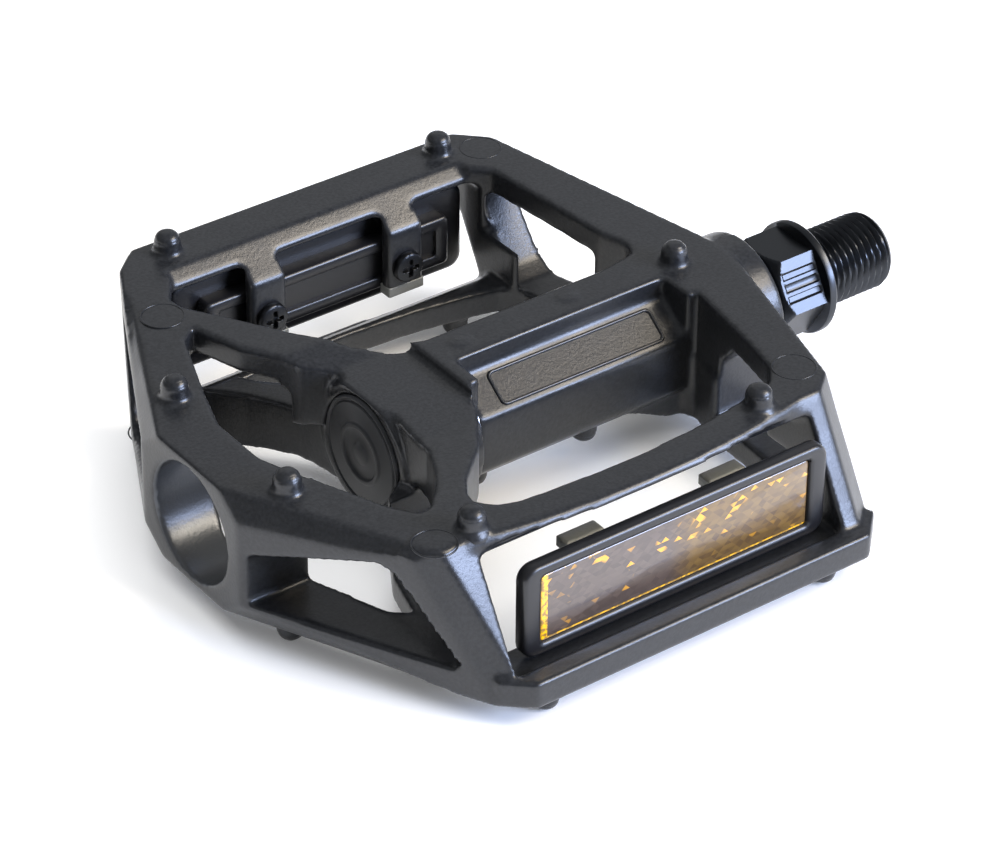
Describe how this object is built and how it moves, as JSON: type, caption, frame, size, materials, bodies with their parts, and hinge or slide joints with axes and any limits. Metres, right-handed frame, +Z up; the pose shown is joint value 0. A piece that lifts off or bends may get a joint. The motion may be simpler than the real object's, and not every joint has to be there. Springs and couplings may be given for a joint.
{
  "type": "flat bicycle pedal",
  "caption": "Flat bicycle pedal with a cast hexagonal cage, domed grip studs, amber side reflectors and a threaded spindle on ball bearings.",
  "frame": {"origin": "on the spindle axis in the plane of the crank shoulder, where the thread starts", "axes": "+X along the spindle out through the thread into the crank arm, +Z up through the platform, -Y towards the front reflector"},
  "size_m": [0.1286, 0.1048, 0.0302],
  "materials": {
    "painted_cast": "semi-gloss black paint on die-cast aluminium",
    "spindle_steel": "dark turned and milled chromoly steel",
    "seal_rubber": "matte black nitrile",
    "race_steel": "ground bearing steel",
    "ball_steel": "polished bearing balls",
    "zinc_steel": "zinc plated steel",
    "cap_plastic": "moulded black plastic, satin",
    "housing_plastic": "moulded black ABS, satin",
    "amber_lens": "amber prismatic acrylic",
    "backing_plastic": "grey ABS sealing plate",
    "screw_steel": "black oxide steel"
  },
  "bodies": {
    "spindle_group": {"spindle": "spindle_steel", "outboard_cone": "race_steel", "keyed_washer": "zinc_steel", "lock_nut": "zinc_steel"},
    "platform": {"cage_body": "painted_cast", "inboard_seal": "seal_rubber", "inboard_cup": "race_steel", "outboard_cup": "race_steel", "dust_cap": "cap_plastic", "front_housing": "housing_plastic", "front_lens": "amber_lens", "front_backing": "backing_plastic", "front_screw_outer": "screw_steel", "front_screw_inner": "screw_steel", "rear_housing": "housing_plastic", "rear_lens": "amber_lens", "rear_backing": "backing_plastic", "rear_screw_outer": "screw_steel", "rear_screw_inner": "screw_steel"},
    "inboard_ball_row": {"inboard_balls": "ball_steel"},
    "outboard_ball_row": {"outboard_balls": "ball_steel"}
  },
  "joints": [
    {"name": "platform_spin", "type": "hinge", "parent": "spindle_group", "child": "platform", "pos_m": [-0.06, 0, 0], "axis": [1, 0, 0], "continuous": true},
    {"name": "inboard_ball_orbit", "type": "hinge", "parent": "spindle_group", "child": "inboard_ball_row", "pos_m": [-0.02, 0, 0], "axis": [1, 0, 0], "continuous": true},
    {"name": "outboard_ball_orbit", "type": "hinge", "parent": "spindle_group", "child": "outboard_ball_row", "pos_m": [-0.0715, 0, 0], "axis": [1, 0, 0], "continuous": true}
  ],
  "couplings": [
    {"joint": "inboard_ball_orbit", "follows": "platform_spin", "ratio": 0.6018},
    {"joint": "outboard_ball_orbit", "follows": "platform_spin", "ratio": 0.6058}
  ]
}
